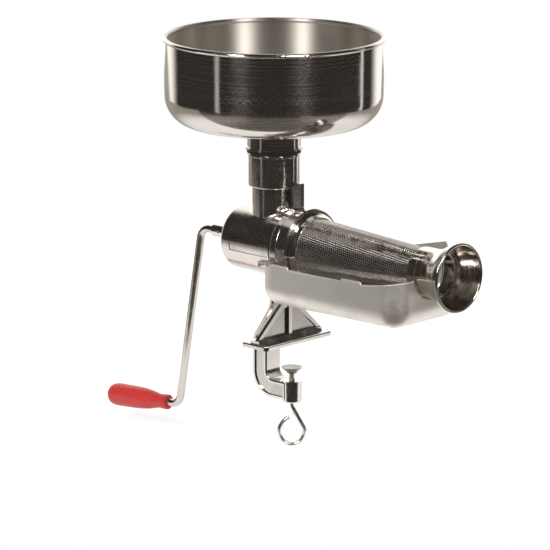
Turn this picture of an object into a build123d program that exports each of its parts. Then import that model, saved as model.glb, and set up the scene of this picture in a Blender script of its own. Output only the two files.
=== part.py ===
from build123d import *
import math
import os

# Hand-cranked tomato strainer that clamps to a table edge.
# Millimetres, +Z up. The origin is the centre of the jaw plate's underside.
# The barrel runs along X: the crank is at its -X end, the strainer cone at its +X end.
# Pieces are drawn about the point where the throat's axis crosses the barrel's axis,
# and placed() moves them from there to the part's own frame.

# ---- Fits ----
turn_fit = 0.05            # radial clearance of a shaft that turns in its bore
slip_fit = 0.3             # radial clearance of a piece that slips over or into another
seat_gap = 0.3             # gap between faces that pass each other when a joint moves
overlap = 1.0              # how far one feature of a casting reaches into the next
bevel = 1.0                # edge break on turned pieces
cast_round = 1.4           # rounded edges of the castings

# ---- Jaw plate, which rests on the table ----
jaw_width = 97.0           # along the table edge
jaw_depth = 35.0           # onto the table
jaw_thickness = 4.5
jaw_corner = 4.0
axis_height = 98.5         # barrel axis above the table
throat_setback = 17.5      # throat axis behind the jaw's centre

# ---- Barrel ----
barrel_back = 45.0         # back face behind the throat axis
barrel_front = 29.0        # flange's back face ahead of the throat axis
barrel_back_radius = 32.0
barrel_front_radius = 34.4
barrel_edge_radius = 5.0
bore_radius = 28.0
rear_wall = 5.0
rear_boss_radius = 13.0
rear_boss_height = 3.0
flange_width = 9.0
flange_radius = 38.5
nose_length = 9.0
nose_radius = 33.1
panel_length = 56.0        # raised panel on the near side
panel_height = 18.5
panel_offset = -4.0        # its centre from the throat axis
panel_rise = 1.0
panel_border = 1.4
panel_recess = 0.6

# ---- Throat ----
throat_radius = 21.5
throat_bore = 18.5
throat_root = 4.5          # fillet where the throat grows out of the barrel
collar_radius = 25.3
collar_wall = 2.7
collar_chamfer = 1.5
collar_base = 57.8         # above the barrel axis
collar_top = 88.0
lip_radius = 26.2
lip_height = 3.2
lip_step = 0.6
insert_seat = 62.0         # the collar's bore starts here
web_reach = 38.5           # web between throat and flange, from the throat axis
web_top = 64.0
web_thickness = 4.6

# ---- Clamp frame ----
leg_back = 3.9             # leg under the barrel, ahead of the throat axis
leg_front = 17.5
leg_knee = 63.0            # below the barrel axis
leg_half_width = 10.5
leg_in_barrel = 1.5        # the leg reaches this far into the barrel's bore line
leg_bend_radius = 24.0
spine_depth = 19.0
spine_recess_rim = 3.2
spine_recess = 1.5
arm_underside = 59.0       # below the jaw's underside
arm_thickness = 18.5
arm_outer_radius = 25.0
arm_inner_radius = 9.0
boss_radius = 10.0
boss_length = 22.5
boss_edge = 2.0
boss_drop = 39.3           # boss top below the jaw's underside
screw_ahead = 7.0          # screw axis ahead of the jaw's centre
gusset_front = 21.0        # fan-shaped gusset, ahead of the throat axis
gusset_thickness = 4.0
gusset_top = 60.0          # below the barrel axis
gusset_top_half_width = 12.0
gusset_foot_half_width = 46.0
gusset_foot_height = 3.0
gusset_rim = 3.6
gusset_recess = 1.6
gusset_rib = 4.4
gusset_foot_depth = 10.0

# ---- Clamp screw and pad ----
screw_radius = 3.15
screw_turned = 43.0        # the eye's plane from +X, as it stands at rest
shank_end = 67.3           # corner of the shank's bend, below the jaw's underside
eye_radius = 12.4          # to the middle of the rod
eye_rod_radius = 2.8
eye_centre_drop = 93.5
eye_bend_radius = 9.0
eye_end_side = 2.4         # the rod's end, beside the shank's axis
eye_end_drop = 77.8        # and below the jaw's underside
pad_drop = 25.6            # pad's top below the jaw's underside
pad_radius = 10.4
pad_height = 6.2
pad_rim = 1.6
pad_hub_radius = 5.2
pad_dish = 1.2
pad_floor = 3.0            # from the pad's top to the end of its socket

# ---- Shaft, auger and rear bearing ----
shaft_radius = 6.4
shaft_reach = 82.0         # back end, behind the throat axis
shaft_in_auger = 30.0
bush_radius = 9.5
bush_flange_radius = 11.5
bush_flange = 2.0
seal_radius = 10.5
seal_thickness = 2.4
washer_radius = 16.0
washer_thickness = 1.6
auger_core_back = 12.5
auger_core_front = 8.5
auger_flight_gap = 0.8     # flight to bore and to strainer cone
auger_flight_width = 3.2
auger_turns_barrel = 2
auger_turns_cone = 4
auger_tip_setback = 6.0    # flight ends this far inside the cone's small end
auger_nose = 10.0
auger_nose_radius = 3.0
auger_flight_root = 3.0    # the flight's section reaches this far into the core
auger_pin_radius = 2.0
auger_pin_inset = 0.5

# ---- Crank ----
crank_rod_radius = 4.0
crank_in_shaft = 22.0
crank_bend_x = 99.3        # corner of the upper bend, behind the throat axis
crank_bend_radius = 12.0
crank_throw = 190.0        # corner of the lower bend, below the barrel axis
crank_lean = 9.8           # degrees that the arm leans outward
crank_pin_radius = 1.5
crank_pin_stand = 0.4      # the pin's ends stand out of the shaft
shaft_chamfer = 0.8
grip_tilt = 3.3            # degrees that the grip's end hangs
grip_start = 17.5          # from the lower bend's corner to the grip's inner end
grip_length = 80.0
grip_bore_radius = crank_rod_radius + turn_fit
grip_inner_radius = 7.0
grip_waist_radius = 9.3
grip_full_radius = 11.6
grip_end_radius = 9.6
grip_waist_at = 0.27       # of the grip's length
grip_full_at = 0.8
grip_end_round = 2.5
ferrule_length = 5.0
ferrule_radius = 7.6
ferrule_cap = 1.0
end_washer_radius = 6.0
end_washer_thickness = 1.0
rivet_radius = 5.0
rivet_height = 1.8

# ---- Hopper ----
bowl_rim_height = 207.6    # above the barrel axis
bowl_radius = 110.0        # outside of the rolled rim
bowl_bead_radius = 2.3
bowl_wall = 1.0
bowl_taper = 1.0           # the wall is this much narrower at the bottom
bowl_corner_radius = 30.0
bowl_bottom_height = 119.0
spigot_radius = 26.5
spigot_bore = 20.5
stop_radius = 28.3
stop_thickness = 1.8
gasket_radius = 27.0
gasket_thickness = 3.6
insert_play = 0.5          # the insert ends this far above its seat

# ---- Strainer ----
ring_radius = 40.0
ring_wall_front = 1.6
lug_width = 9.0
lug_height = 11.0
lug_rise = 2.6
pin_radius = 2.0
pin_count = 3
pin_reach = 2.6            # pins stand out of the nose
pin_root = 3.0             # and reach this far into it
pin_setback = 4.0          # pin axis behind the nose's front face
bayonet_turn = 30.0
groove_spare = 5.0         # degrees past each end of the turn
seal_ring_thickness = 2.0
shoulder_sheet = 0.8
shoulder_radius = 36.0
shoulder_flange_radius = 38.0
shoulder_length = 4.0
shoulder_lip = 3.0
shoulder_round = 1.5
seal_inset = 0.5           # the seal's bore stands back from the barrel's bore
cone_wall = 0.8
cone_back_radius = 31.6
cone_front_radius = 22.0
cone_front = 202.0         # small end, ahead of the throat axis
end_ring_length = 5.0
end_ring_rise = 0.9

# ---- Discharge cup ----
cup_wall = 1.2
cup_neck_length = 13.0
cup_length = 45.0
cup_mouth_radius = 34.1
cup_lip_radius = 1.5
cup_curve = ((0.62, 0.30), (0.85, 0.78))   # along the cup, and out from neck to mouth
cup_flare = 0.35           # slope of the wall at the mouth

# ---- Tray ----
tray_back = 25.0           # ahead of the throat axis, behind the flange
tray_front = 208.0
tray_half_width = 52.0
tray_floor = 51.5          # underside below the barrel axis
tray_rim = 11.0            # near rim below the barrel axis
tray_end_rim = 4.5
tray_rise_start = 165.0    # the rim starts to rise towards the outlet here
tray_guard_top = 19.0      # top of the far side's splash guard, above the barrel axis
tray_guard_end = 183.0
tray_guard_corner = 2.5
tray_sheet = 1.0
tray_corner_radius = 20.0
tray_bottom_radius = 19.0
tray_tab_rise = 2.5
tray_tab_length = 25.0
tray_tab_starts = (41.0, 137.0)
hook_length = 16.0
hook_start = 21.0          # hooks reach back over the rim, ahead of the throat axis
hook_thickness = 1.8
hook_width = 8.0
hook_inner_edge = 38.0
peg_radius = 1.8
peg_ahead = 22.9           # pegs under the hooks, ahead of the throat axis
tray_stop_width = 12.0     # lug on the leg that the tray's back wall leans on
tray_stop_height = 9.0
tray_stop_drop = 46.0      # its middle, below the barrel axis
tray_notch_gap = 2.0       # tray to barrel and to cup, where they pass its rim

# ---- Worked-out places, about the crossing of the throat and barrel axes ----
table = -axis_height                       # jaw's underside
jaw_back = throat_setback - jaw_depth / 2
jaw_front = throat_setback + jaw_depth / 2
jaw_top = table + jaw_thickness
screw_x = throat_setback + screw_ahead
flange_front = barrel_front + flange_width
nose_front = flange_front + nose_length
lip_top = collar_top + lip_height
collar_bore = collar_radius - collar_wall
insert_radius = collar_bore - slip_fit
ring_back = flange_front + seat_gap
seal_front = nose_front + seal_ring_thickness
shoulder_front = seal_front + shoulder_sheet
ring_front = shoulder_front + ring_wall_front
cone_back = ring_front + shoulder_length - shoulder_round
cone_slope = (cone_back_radius - cone_front_radius) / (cone_front - cone_back)
cup_bore = cone_front_radius + end_ring_rise + turn_fit
cup_back = cone_front - end_ring_length
cup_front = cup_back + cup_length
auger_back = seal_thickness + washer_thickness + seat_gap - barrel_back + rear_wall
auger_front = cone_front - auger_tip_setback


def placed(shape):
    """Move a piece from the crossing of the two axes to the part's own frame."""
    return Pos(-throat_setback, 0, axis_height) * shape


def turned_x(*points):
    """Turn a closed (x, radius) outline about the barrel axis."""
    outline = make_face(Polyline(*points, close=True))
    return revolve(outline, Axis.X, 360)


def turned_z(*points, x=0.0):
    """Turn a closed (radius, z) outline about a vertical axis at x."""
    outline = make_face(Polyline(*[(radius, 0, z) for radius, z in points], close=True))
    return Pos(x, 0, 0) * revolve(outline, Axis.Z, 360)


def rod_x(radius, start, end):
    return Pos((start + end) / 2, 0, 0) * Rot(0, 90, 0) * Cylinder(radius, end - start)


def rod_y(radius, start, end, x, z):
    return Pos(x, (start + end) / 2, z) * Rot(90, 0, 0) * Cylinder(radius, end - start)


def rod_z(radius, start, end, x=0.0):
    return Pos(x, 0, (start + end) / 2) * Cylinder(radius, end - start)


def block(x_range, y_range, z_range):
    """A box given by its limits along X, Y and Z."""
    middle = [sum(limits) / 2 for limits in (x_range, y_range, z_range)]
    size = [limits[1] - limits[0] for limits in (x_range, y_range, z_range)]
    return Pos(*middle) * Box(*size)


def cone_radius_at(x):
    """Outer radius of the strainer cone."""
    return cone_back_radius - cone_slope * (x - cone_back)


def barrel_skin(offset):
    """The barrel's tapered outside, grown by offset."""
    return turned_x((-barrel_back, 0), (-barrel_back, barrel_back_radius + offset),
                    (barrel_front, barrel_front_radius + offset), (barrel_front, 0))


def raised_panel():
    """A framed field on the barrel's near side that follows its curve."""
    start = panel_offset - panel_length / 2
    half_height = panel_height / 2
    pad = block((start, start + panel_length), (-flange_radius, 0), (-half_height, half_height))
    field = block((start + panel_border, start + panel_length - panel_border), (-flange_radius, 0),
                  (panel_border - half_height, half_height - panel_border))
    field_cut = (barrel_skin(panel_rise) - barrel_skin(panel_rise - panel_recess)) & field
    return (barrel_skin(panel_rise) & pad) - field_cut


def barrel_casting():
    """Barrel with its rear wall, flange, nose, near-side panel and tray pegs."""
    shell = fillet(barrel_skin(0).edges().filter_by(GeomType.CIRCLE).sort_by(Axis.X)[0],
                   barrel_edge_radius)
    flange = fillet(rod_x(flange_radius, barrel_front, flange_front).edges()
                    .filter_by(GeomType.CIRCLE), cast_round)
    boss = rod_x(rear_boss_radius, -barrel_back - rear_boss_height, -barrel_back + overlap)
    nose = rod_x(nose_radius, flange_front - overlap, nose_front)
    solid = shell + raised_panel() + flange + boss + nose
    peg_end = hook_inner_edge + hook_width
    for start, end in ((-peg_end, -bore_radius - overlap), (bore_radius + overlap, peg_end)):
        solid += rod_y(peg_radius, start, end, peg_ahead, -tray_rim - peg_radius)
    solid -= rod_x(bore_radius, rear_wall - barrel_back, nose_front)
    solid -= rod_x(bush_radius, -barrel_back - rear_boss_height, rear_wall - barrel_back)
    solid -= rod_z(throat_bore, 0, axis_height)
    return solid - bayonet_pins()


def throat_casting():
    """Throat with its collar, lip and the web that ties it to the flange."""
    stack = turned_z((0, 0), (throat_radius, 0), (throat_radius, collar_base - collar_chamfer),
                     (collar_radius, collar_base), (collar_radius, collar_top),
                     (lip_radius, collar_top + lip_step), (lip_radius, lip_top), (0, lip_top))
    edges = stack.edges().filter_by(GeomType.CIRCLE)
    stack = fillet([edges.filter_by_position(Axis.Z, collar_base, collar_base)[0],
                    edges.group_by(Axis.Z)[-1][0]], cast_round)
    solid = stack + barrel_skin(0)
    roots = new_edges(stack, barrel_skin(0), combined=solid).filter_by_position(Axis.Z, 0, axis_height)
    solid = fillet(roots, throat_root)
    web = block((0, web_reach), (-web_thickness / 2, web_thickness / 2), (0, web_top))
    solid += web
    solid -= rod_z(throat_bore, 0, lip_top)
    solid -= rod_z(collar_bore, insert_seat, lip_top)
    solid -= barrel_skin(0)
    solid -= rod_x(flange_radius, barrel_front, flange_front)
    solid -= rod_x(ring_radius + seat_gap, flange_front, ring_front)
    return solid


def clamp_profile():
    """Side outline of the leg, spine and lower arm, in the XZ plane."""
    under_barrel = -bore_radius - leg_in_barrel
    spine_front = jaw_back - overlap
    spine_back = spine_front - spine_depth
    arm_bottom = table - arm_underside
    arm_top = arm_bottom + arm_thickness
    corners = [
        (leg_back, under_barrel, 0), (leg_back, -leg_knee, leg_bend_radius),
        (spine_back, table, leg_bend_radius), (spine_back, arm_bottom, arm_outer_radius),
        (screw_x, arm_bottom, 0), (screw_x, arm_top, 0),
        (spine_front, arm_top, arm_inner_radius), (spine_front, jaw_top, 0),
        (leg_front, -leg_knee, leg_bend_radius), (leg_front, under_barrel, 0),
    ]
    points = [(x, 0, z) for x, z, _ in corners]
    return make_face(FilletPolyline(points, radius=[corner[2] for corner in corners], close=True))


def gusset():
    """Fan-shaped gusset that spreads the leg's load along the jaw plate."""
    def fan(shrink):
        top = -gusset_top - shrink
        foot = jaw_top + gusset_foot_height
        return make_face(Polyline(
            (0, -gusset_top_half_width + shrink, top), (0, gusset_top_half_width - shrink, top),
            (0, gusset_foot_half_width - 2 * shrink, foot + shrink / 2),
            (0, gusset_foot_half_width - 2 * shrink, jaw_top + shrink),
            (0, -gusset_foot_half_width + 2 * shrink, jaw_top + shrink),
            (0, -gusset_foot_half_width + 2 * shrink, foot + shrink / 2), close=True))
    plate = extrude(Pos(gusset_front - gusset_thickness, 0, 0) * fan(0),
                    gusset_thickness, dir=(1, 0, 0))
    pocket = extrude(Pos(gusset_front - gusset_recess, 0, 0) * fan(gusset_rim),
                     gusset_recess, dir=(1, 0, 0))
    rib = block((gusset_front - gusset_thickness, gusset_front + gusset_recess),
                (-gusset_rib / 2, gusset_rib / 2), (jaw_top - overlap, -gusset_top))
    foot = block((gusset_front - gusset_foot_depth, gusset_front + gusset_recess),
                 (-gusset_foot_half_width, gusset_foot_half_width),
                 (jaw_top - overlap, jaw_top + gusset_foot_height))
    return plate - pocket + rib + foot


def clamp_frame():
    """Leg, jaw plate, spine, lower arm and screw boss, all one casting."""
    profile = clamp_profile()
    solid = extrude(profile, leg_half_width, dir=(0, 1, 0), both=True)
    sides = solid.faces().sort_by(Axis.Y)
    solid = fillet(sides[0].edges() + sides[-1].edges(), cast_round)
    hollow = offset(profile, -spine_recess_rim)
    for depth in (-leg_half_width, leg_half_width - spine_recess):
        solid -= Pos(0, depth, 0) * extrude(hollow, spine_recess, dir=(0, 1, 0))
    jaw = block((jaw_back, jaw_front), (-jaw_width / 2, jaw_width / 2), (table, jaw_top))
    jaw = fillet(jaw.edges().filter_by(Axis.Z), jaw_corner)
    jaw = fillet(jaw.faces().sort_by(Axis.Z)[-1].edges(), cast_round)
    root = block((jaw_back - spine_depth / 2, jaw_back + overlap), (-leg_half_width, leg_half_width),
                 (table, jaw_top))
    boss = rod_z(boss_radius, table - boss_drop - boss_length, table - boss_drop, x=screw_x)
    boss = fillet(boss.edges().filter_by(GeomType.CIRCLE).sort_by(Axis.Z)[0], boss_edge)
    lug = block((leg_front - overlap, tray_back), (-tray_stop_width / 2, tray_stop_width / 2),
                (-tray_stop_drop - tray_stop_height / 2, tray_stop_height / 2 - tray_stop_drop))
    solid += [jaw, root, boss, lug, gusset()]
    solid -= rod_z(screw_radius + turn_fit, table - axis_height, table - boss_drop, x=screw_x)
    solid -= barrel_skin(0)
    solid -= rod_x(flange_radius, barrel_front, flange_front)
    return solid


def clamp_screw():
    """One rod: a straight shank in the boss, bent into an eye at its foot."""
    top = table - pad_drop - pad_floor
    corner = table - shank_end
    eye_centre = table - eye_centre_drop
    reach = corner - eye_centre
    half_angle = math.asin(eye_radius / reach)
    run = math.sqrt(reach ** 2 - eye_radius ** 2)

    touch = (run * math.sin(half_angle), 0, corner - run * math.cos(half_angle))
    lead = FilletPolyline((0, 0, table - boss_drop - boss_length), (0, 0, corner), touch,
                          radius=eye_bend_radius)
    side = (-eye_radius, 0, eye_centre)
    loop = ThreePointArc(touch, (0, 0, eye_centre - eye_radius), side)
    tail = TangentArc(side, (-eye_end_side, 0, table - eye_end_drop), tangent=(0, 0, 1))
    path = Wire(lead.edges() + [loop.edge(), tail.edge()])
    start = Plane(origin=path @ 0, z_dir=path % 0)
    eye = sweep(start * Circle(eye_rod_radius), path=path)
    shank = rod_z(screw_radius, table - boss_drop - boss_length, top)
    return Pos(screw_x, 0, 0) * Rot(0, 0, screw_turned) * (eye + shank)


def pressure_pad():
    """Dished pad that swivels on the screw's top end."""
    top = table - pad_drop
    solid = turned_z((0, top - pad_dish), (pad_radius - pad_rim, top), (pad_radius, top),
                     (pad_radius, top - bevel), (pad_hub_radius, top - pad_height + bevel),
                     (pad_hub_radius, top - pad_height), (0, top - pad_height), x=screw_x)
    socket = rod_z(screw_radius + turn_fit, top - pad_height, top - pad_floor + seat_gap, x=screw_x)
    return solid - socket


def rear_bush():
    """Flanged bush in the rear wall that carries the shaft."""
    inner_face = rear_wall - barrel_back
    outer_face = -barrel_back - rear_boss_height
    solid = rod_x(bush_radius, outer_face, inner_face)
    solid += rod_x(bush_flange_radius, outer_face - bush_flange, outer_face)
    return solid - rod_x(shaft_radius + turn_fit, outer_face - bush_flange, inner_face)


def ring_on_shaft(radius, start, thickness, clearance):
    bore = shaft_radius + clearance
    return rod_x(radius, start, start + thickness) - rod_x(bore, start, start + thickness)


def drive_shaft():
    """Shaft from inside the auger out through the bush, bored for the crank rod."""
    solid = rod_x(shaft_radius, -shaft_reach, auger_back + shaft_in_auger)
    solid -= rod_x(crank_rod_radius, -shaft_reach, crank_in_shaft - shaft_reach)
    back_circles = solid.edges().filter_by(GeomType.CIRCLE).group_by(Axis.X)[0]
    solid = chamfer(back_circles.sort_by(SortBy.RADIUS)[-1], shaft_chamfer)
    return solid - auger_pin() - crank_pin()


def auger_pin():
    middle = auger_back + shaft_in_auger / 2
    reach = auger_core_back - auger_pin_inset
    return rod_y(auger_pin_radius, -reach, reach, middle, 0)


def crank_pin():
    middle = crank_in_shaft / 2 - shaft_reach
    reach = shaft_radius + crank_pin_stand
    return rod_y(crank_pin_radius, -reach, reach, middle, 0)


def flight(start, turns, length, start_radius, end_radius, depth):
    """One screw flight about X whose outer edge follows a cylinder or cone."""
    taper = math.degrees(math.atan((end_radius - start_radius) / length))
    mean = start_radius - depth / 2
    path = Helix(pitch=length / turns, height=length, radius=mean, center=(start, 0, 0),
                 direction=(1, 0, 0), cone_angle=taper)
    radial = Vector(0, (path @ 0).Y, (path @ 0).Z)
    section = Plane(origin=path @ 0, x_dir=radial, z_dir=path % 0) * Rectangle(
        depth, auger_flight_width)
    return sweep(section, path=path, is_frenet=True)


def auger():
    """Feed screw: two full turns in the barrel, four tapering ones in the cone."""
    barrel_radius = bore_radius - auger_flight_gap
    depth = barrel_radius - auger_core_back + auger_flight_root
    first = auger_back + auger_flight_width
    last = nose_front - 2 * auger_flight_width
    change = nose_front + auger_flight_width
    core = turned_x((auger_back, 0), (auger_back, auger_core_back), (change, auger_core_back),
                    (auger_front, auger_core_front), (auger_front + auger_nose, auger_nose_radius),
                    (auger_front + auger_nose, 0))
    cone_gap = auger_flight_gap + cone_wall
    end_radius = cone_radius_at(auger_front) - cone_gap
    feed = flight(first, auger_turns_barrel, last - first, barrel_radius, barrel_radius, depth)
    press = flight(change, auger_turns_cone, auger_front - auger_flight_width - change,
                   barrel_radius, end_radius, depth)
    solid = core + feed + press
    solid -= rod_x(shaft_radius, auger_back, auger_back + shaft_in_auger)
    return solid - auger_pin()


def crank_corner(distance):
    """A point on the grip's axis, at a distance beyond the lower bend's corner."""
    lean = math.tan(math.radians(crank_lean))
    tilt = math.radians(grip_tilt)
    corner_x = -crank_bend_x - crank_throw * lean
    return (corner_x - distance * math.cos(tilt), 0, -crank_throw - distance * math.sin(tilt))


def along_grip(shape):
    """Place a piece drawn from the origin along +Z onto the grip's axis."""
    return Pos(*crank_corner(grip_start)) * Rot(0, -90 - grip_tilt, 0) * shape


def crank_rod():
    """Bent rod from the shaft down to the grip, one piece."""
    inner = (crank_in_shaft - shaft_reach, 0, 0)
    grip_end = crank_corner(grip_start + grip_length + end_washer_thickness + seat_gap)
    path = FilletPolyline(inner, (-crank_bend_x, 0, 0), crank_corner(0), grip_end,
                          radius=crank_bend_radius)
    start = Plane(origin=path @ 0, z_dir=path % 0)
    solid = sweep(start * Circle(crank_rod_radius), path=path)
    return solid - crank_pin()


def grip():
    """Turned wooden grip, fullest near its outer end."""
    inner_end = (grip_inner_radius, 0, ferrule_length)
    outer_end = (grip_end_radius, 0, grip_length - grip_end_round)
    side = Spline(inner_end, (grip_waist_radius, 0, grip_waist_at * grip_length),
                  (grip_full_radius, 0, grip_full_at * grip_length), outer_end,
                  tangents=((0, 0, 1), (-0.8, 0, 1)))
    ends = Polyline(outer_end, (grip_end_radius - grip_end_round, 0, grip_length),
                    (0, 0, grip_length), (0, 0, 0), (grip_inner_radius, 0, 0), inner_end)
    solid = revolve(make_face(side.edges() + ends.edges()), Axis.Z, 360)
    return along_grip(solid - Pos(0, 0, grip_length / 2) * Cylinder(grip_bore_radius, grip_length))


def ferrule():
    """Thin metal cap round the grip's inner end."""
    return along_grip(turned_z((grip_bore_radius, -ferrule_cap), (ferrule_radius, -ferrule_cap),
                               (ferrule_radius, ferrule_length), (grip_inner_radius, ferrule_length),
                               (grip_inner_radius, 0), (grip_bore_radius, 0)))


def end_washer():
    start = grip_length + seat_gap
    end = start + end_washer_thickness
    return along_grip(rod_z(end_washer_radius, start, end) - rod_z(crank_rod_radius, start, end))


def end_rivet():
    """Peened head that keeps the grip on the rod."""
    base = grip_length + seat_gap + end_washer_thickness
    ball = (rivet_radius ** 2 + rivet_height ** 2) / (2 * rivet_height)
    cap = Pos(0, 0, base + rivet_height - ball) * Sphere(ball)
    return along_grip(cap & rod_z(rivet_radius + overlap, base, base + rivet_height))


def hopper_bowl():
    """Open sheet bowl with a rolled rim and a hole over the spigot."""
    wall_radius = bowl_radius - bowl_bead_radius / 2
    top = bowl_rim_height - bowl_bead_radius
    bottom = bowl_bottom_height

    def side(inset):
        return FilletPolyline((0, 0, bottom + inset), (wall_radius - bowl_taper - inset, 0, bottom + inset),
                              (wall_radius - inset, 0, top), radius=[bowl_corner_radius - inset])
    outer = side(0)
    inner = side(bowl_wall)
    edges = outer.edges() + inner.edges()
    edges += [Line(outer @ 0, inner @ 0).edge(), Line(outer @ 1, inner @ 1).edge()]
    bowl = revolve(make_face(edges), Axis.Z, 360)
    bead = Pos(0, 0, top) * Torus(bowl_radius - bowl_bead_radius, bowl_bead_radius)
    return bowl + bead - rod_z(spigot_bore, bottom - overlap, bottom + bowl_corner_radius)


def hopper_spigot():
    """Tube under the bowl: a wide neck, then the insert that drops into the throat."""
    neck_base = lip_top + gasket_thickness + stop_thickness
    solid = rod_z(spigot_radius, neck_base, bowl_bottom_height)
    solid += rod_z(insert_radius, insert_seat + insert_play, neck_base)
    return solid - rod_z(spigot_bore, 0, bowl_rim_height)


def ring_on_insert(radius, base, thickness):
    return rod_z(radius, base, base + thickness) - rod_z(insert_radius, base, base + thickness)


def bayonet_pins():
    """Radial pins in the nose that lock the strainer ring."""
    pins = []
    for number in range(pin_count):
        pin = Pos(nose_front - pin_setback, 0, 0) * Rot(360 * number / pin_count, 0, 0) * (
            rod_z(pin_radius, nose_radius - pin_root, nose_radius + pin_reach))
        pins.append(pin)
    return pins


def strainer_ring():
    """Bayonet ring that draws the strainer against the nose."""
    inner = nose_radius + slip_fit
    pocket = shoulder_flange_radius + slip_fit
    opening = shoulder_radius + slip_fit
    solid = turned_x((ring_back, inner), (ring_back, ring_radius - bevel),
                     (ring_back + bevel, ring_radius), (ring_front - bevel, ring_radius),
                     (ring_front, ring_radius - bevel), (ring_front, opening),
                     (shoulder_front, opening), (shoulder_front, pocket),
                     (nose_front, pocket), (nose_front, inner))
    pin_x = nose_front - pin_setback
    groove_half = pin_radius + slip_fit / 2
    groove_root = nose_radius - overlap
    groove_top = nose_radius + pin_reach + seat_gap
    sector = make_face(Polyline((pin_x - groove_half, 0, groove_root),
                                (pin_x - groove_half, 0, groove_top),
                                (pin_x + groove_half, 0, groove_top),
                                (pin_x + groove_half, 0, groove_root), close=True))
    groove = Rot(-groove_spare, 0, 0) * revolve(sector, Axis.X, bayonet_turn + 2 * groove_spare)
    entry = Rot(bayonet_turn, 0, 0) * block((ring_back - overlap, pin_x), (-groove_half, groove_half),
                                            (groove_root, groove_top))
    for number in range(pin_count):
        solid -= Rot(360 * number / pin_count, 0, 0) * (groove + entry)
    lug = block((ring_front - bevel - lug_width, ring_front - bevel),
                (shoulder_flange_radius + overlap, ring_radius + lug_rise),
                (-lug_height / 2, lug_height / 2))
    return solid + [lug, mirror(lug, Plane.XZ)]


def strainer_seal():
    bore = bore_radius + seal_inset
    return rod_x(nose_radius, nose_front, seal_front) - rod_x(bore, nose_front, seal_front)


def cone_shoulder():
    """Formed sheet between the ring and the cone."""
    face = ring_front + shoulder_length
    inner = shoulder_radius - shoulder_sheet
    bore = bore_radius + 2 * seal_inset
    lip = cone_radius_at(cone_back) + turn_fit
    return turned_x((seal_front, bore), (seal_front, shoulder_flange_radius),
                    (shoulder_front, shoulder_flange_radius), (shoulder_front, shoulder_radius),
                    (face - shoulder_round, shoulder_radius), (face, shoulder_radius - shoulder_round),
                    (face + shoulder_lip, lip + shoulder_sheet), (face + shoulder_lip, lip),
                    (face - shoulder_sheet, lip), (face - shoulder_sheet - shoulder_round, inner),
                    (shoulder_front, inner), (shoulder_front, bore))


def strainer_cone():
    """Perforated sheet cone, drawn plain: its holes are about 1.3 mm across."""
    return turned_x((cone_back, cone_radius_at(cone_back)), (cone_front, cone_front_radius),
                    (cone_front, cone_front_radius - cone_wall),
                    (cone_back, cone_radius_at(cone_back) - cone_wall))


def cone_end_ring():
    """Stiffening ring at the cone's small end, which the cup slips over."""
    start = cone_front - end_ring_length
    outer = cone_front_radius + end_ring_rise
    return turned_x((start, cone_radius_at(start) + turn_fit), (start, outer), (cone_front, outer),
                    (cone_front, cone_front_radius + turn_fit))


def discharge_cup():
    """Flared cup at the outlet, a slip fit on the cone's end ring."""
    def wall(gap):
        neck = cup_bore + gap
        mouth = cup_mouth_radius - cup_wall + gap
        flare = [(cup_back + along * cup_length, 0, neck + out * (mouth - neck))
                 for along, out in cup_curve]
        return [(cup_back, 0, neck), (cup_back + cup_neck_length, 0, neck), *flare,
                (cup_front, 0, mouth)]
    outer = wall(cup_wall)
    inner = wall(0)
    edges = [Line(outer[0], inner[0]).edge(), Line(outer[-1], inner[-1]).edge()]
    for points in (outer, inner):
        edges.append(Line(points[0], points[1]).edge())
        edges.append(Spline(points[1:], tangents=[(1, 0, 0), (1, 0, cup_flare)]).edge())
    body = revolve(make_face(edges), Axis.X, 360)
    bead = Torus(cup_mouth_radius - cup_wall, cup_lip_radius)
    return body + Pos(cup_front, 0, 0) * Rot(0, 90, 0) * bead


def tray_block(inset):
    """The tray's rounded outside, shrunk by inset all round but open above."""
    solid = block((tray_back + inset, tray_front - inset),
                  (inset - tray_half_width, tray_half_width - inset),
                  (inset - tray_floor, tray_guard_top + tray_corner_radius))
    solid = fillet(solid.edges().filter_by(Axis.Z), tray_corner_radius - inset)
    return fillet(solid.faces().sort_by(Axis.Z)[0].edges(), tray_bottom_radius - inset)


def across_tray(outline, start, end):
    """A prism from Y = start to Y = end on an (x, z) outline."""
    side = make_face(Polyline(*[(x, start, z) for x, z in outline], close=True))
    return extrude(side, end - start, dir=(0, 1, 0))


def above_near_rim():
    """What is cut away above the near side's rim, which has two raised tabs."""
    ceiling = tray_guard_top + tray_corner_radius
    outline = [(tray_back - overlap, ceiling), (tray_back - overlap, -tray_rim)]
    for start in tray_tab_starts:
        stop = start + tray_tab_length
        outline += [(start, -tray_rim), (start, tray_tab_rise - tray_rim),
                    (stop, tray_tab_rise - tray_rim), (stop, -tray_rim)]
    outline += [(tray_rise_start, -tray_rim), (tray_front + overlap, -tray_end_rim),
                (tray_front + overlap, ceiling)]
    return across_tray(outline, -tray_half_width - overlap, tray_half_width - tray_corner_radius)


def above_far_rim():
    """What is cut away above the far side's rim, which climbs into a splash guard."""
    ceiling = tray_guard_top + tray_corner_radius
    outline = [(tray_back - overlap, ceiling), (tray_back - overlap, -tray_rim),
               (ring_front, -tray_rim), (tray_guard_end - tray_guard_corner, tray_guard_top),
               (tray_guard_end, tray_guard_top - tray_guard_corner), (tray_guard_end, -tray_end_rim),
               (tray_front + overlap, -tray_end_rim), (tray_front + overlap, ceiling)]
    return across_tray(outline, tray_half_width - tray_corner_radius, tray_half_width + overlap)


def tray_pan():
    """Sheet tray under the cone, hung behind the flange."""
    solid = tray_block(0) - tray_block(tray_sheet) - above_near_rim() - above_far_rim()
    barrel_notch = rod_x(barrel_front_radius + tray_notch_gap, tray_back - overlap,
                         tray_back + tray_bottom_radius)
    cup_notch = rod_x(cup_bore + cup_wall + tray_notch_gap, tray_front - tray_bottom_radius,
                      tray_front + overlap)
    return solid - barrel_notch - cup_notch


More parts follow.
